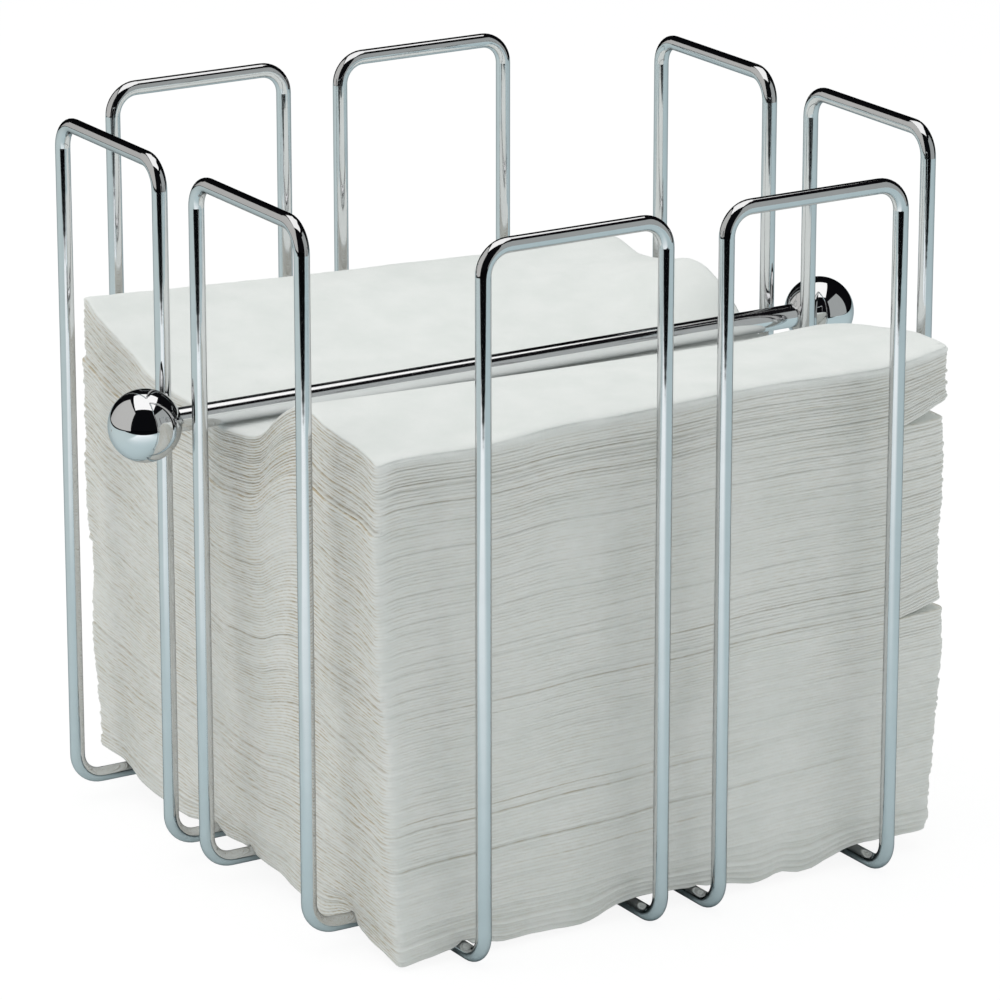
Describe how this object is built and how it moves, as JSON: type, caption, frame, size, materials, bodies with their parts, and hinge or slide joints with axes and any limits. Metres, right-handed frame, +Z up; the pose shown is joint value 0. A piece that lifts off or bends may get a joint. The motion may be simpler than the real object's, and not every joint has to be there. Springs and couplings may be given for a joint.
{
  "type": "napkin holder",
  "caption": "Square chrome wire napkin holder with open corners and a loose ball-ended weight bar that slides between the side loops to hold down a stack of folded paper napkins.",
  "frame": {"origin": "on the table, under the middle of the wire cage", "axes": "+X along the weight bar, towards its right ball; -Y towards the front; +Z up"},
  "size_m": [0.2266, 0.1962, 0.191],
  "materials": {
    "hoop_wire": "polished",
    "weld": "plated over the weld",
    "bar_rod": "polished",
    "bar_ball": "mirror polished",
    "napkin_paper": "soft embossed tissue"
  },
  "bodies": {
    "frame": {"front_back_hoop_left": "hoop_wire", "front_back_hoop_right": "hoop_wire", "side_hoop_front": "hoop_wire", "side_hoop_back": "hoop_wire", "hoop_butt_welds": "weld", "crossing_welds": "weld"},
    "napkin_stack": {"napkin_pack_lower": "napkin_paper", "napkin_pack_middle": "napkin_paper", "napkin_pack_top": "napkin_paper"},
    "weight_bar": {"weight_rod": "bar_rod", "ball_left": "bar_ball", "ball_right": "bar_ball"}
  },
  "joints": [
    {"name": "stack_lift", "type": "slide", "parent": "frame", "child": "napkin_stack", "axis": [0, 0, 1], "range_m": [0, 0.2]},
    {"name": "bar_lift", "type": "slide", "parent": "napkin_stack", "child": "weight_bar", "axis": [0, 0, 1], "range_m": [0, 0.085]}
  ]
}
